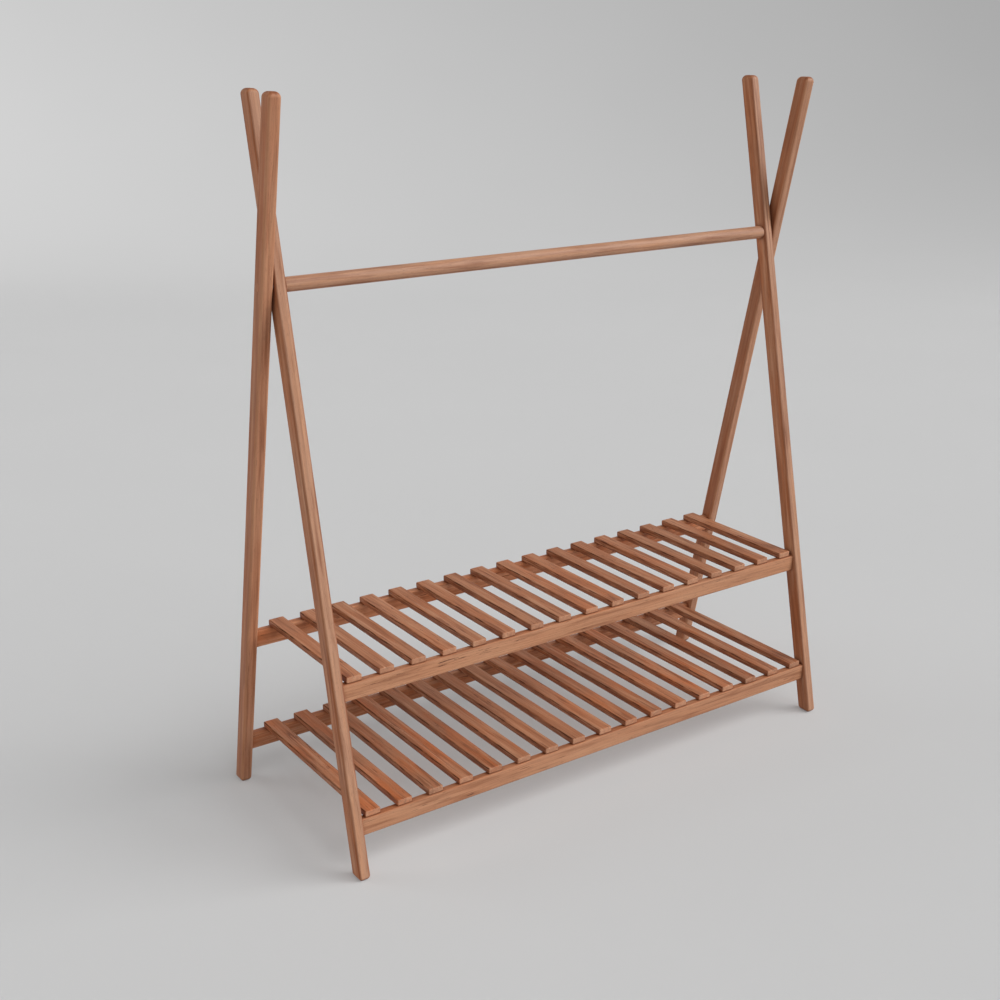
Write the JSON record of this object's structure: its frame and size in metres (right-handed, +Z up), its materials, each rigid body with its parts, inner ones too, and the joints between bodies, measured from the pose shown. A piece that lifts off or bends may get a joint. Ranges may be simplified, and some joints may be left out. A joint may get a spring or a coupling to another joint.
{
  "type": "open frame wardrobe",
  "caption": "Open frame wardrobe in solid wood: crossed legs at each end carry a round hanging rail, and slatted shelves near the floor tie the ends together.",
  "frame": {"origin": "on the floor under the middle of the wardrobe", "axes": "+X along the hanging rail to the right, +Y to the back, +Z up"},
  "size_m": [1.5, 0.5858, 1.676],
  "materials": {
    "leg_wood": "satin oil, fine grain along the leg",
    "pole_wood": "satin oil, a little glossier from handling",
    "rail_wood": "satin oil, grain along the rail",
    "slat_wood": "satin oil, tone differs from slat to slat",
    "dowel_wood": "bare beech",
    "zinc_steel": "zinc plated"
  },
  "bodies": {
    "root": {"left_front_leg": "leg_wood", "left_rear_leg": "leg_wood", "right_front_leg": "leg_wood", "right_rear_leg": "leg_wood", "bolt_plugs": "leg_wood", "hanging_rail": "pole_wood", "upper_front_rail": "rail_wood", "upper_rear_rail": "rail_wood", "lower_front_rail": "rail_wood", "lower_rear_rail": "rail_wood", "upper_slat_01": "slat_wood", "upper_slat_02": "slat_wood", "upper_slat_03": "slat_wood", "upper_slat_04": "slat_wood", "upper_slat_05": "slat_wood", "upper_slat_06": "slat_wood", "upper_slat_07": "slat_wood", "upper_slat_08": "slat_wood", "upper_slat_09": "slat_wood", "upper_slat_10": "slat_wood", "upper_slat_11": "slat_wood", "upper_slat_12": "slat_wood", "upper_slat_13": "slat_wood", "upper_slat_14": "slat_wood", "upper_slat_15": "slat_wood", "upper_slat_16": "slat_wood", "upper_slat_17": "slat_wood", "lower_slat_01": "slat_wood", "lower_slat_02": "slat_wood", "lower_slat_03": "slat_wood", "lower_slat_04": "slat_wood", "lower_slat_05": "slat_wood", "lower_slat_06": "slat_wood", "lower_slat_07": "slat_wood", "lower_slat_08": "slat_wood", "lower_slat_09": "slat_wood", "lower_slat_10": "slat_wood", "lower_slat_11": "slat_wood", "lower_slat_12": "slat_wood", "lower_slat_13": "slat_wood", "lower_slat_14": "slat_wood", "lower_slat_15": "slat_wood", "lower_slat_16": "slat_wood", "lower_slat_17": "slat_wood", "upper_rail_dowels": "dowel_wood", "upper_slat_dowels": "dowel_wood", "lower_rail_dowels": "dowel_wood", "lower_slat_dowels": "dowel_wood", "cross_bolts": "zinc_steel", "cross_washers": "zinc_steel", "cross_spacers": "zinc_steel", "rail_inserts": "zinc_steel"}
  },
  "joints": []
}
